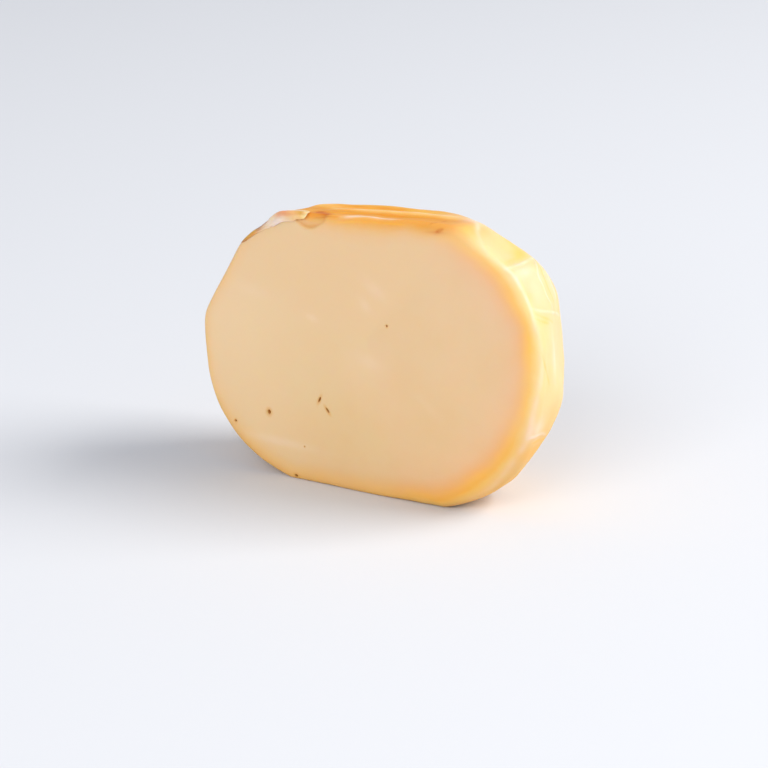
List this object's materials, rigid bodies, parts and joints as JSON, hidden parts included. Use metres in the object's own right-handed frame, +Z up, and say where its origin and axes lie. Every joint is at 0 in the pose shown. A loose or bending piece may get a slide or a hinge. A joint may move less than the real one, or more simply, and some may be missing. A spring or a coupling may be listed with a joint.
{
  "type": "provolone cheese",
  "caption": "End piece of a smoked provolone loaf with one flat cut face and a domed rind, standing on its flattened side.",
  "frame": {"origin": "middle of the bounding box's footprint, on the plane the cheese rests on", "axes": "+X to the right across the cut face, +Y from the cut face towards the domed end, +Z up"},
  "size_m": [0.1326, 0.0544, 0.0995],
  "materials": {
    "cheese": "dense, slightly waxy cream paste on the cut face; smooth glossy yellow rind, smoked orange-brown along the top"
  },
  "bodies": {
    "root": {"provolone": "cheese"}
  },
  "joints": []
}
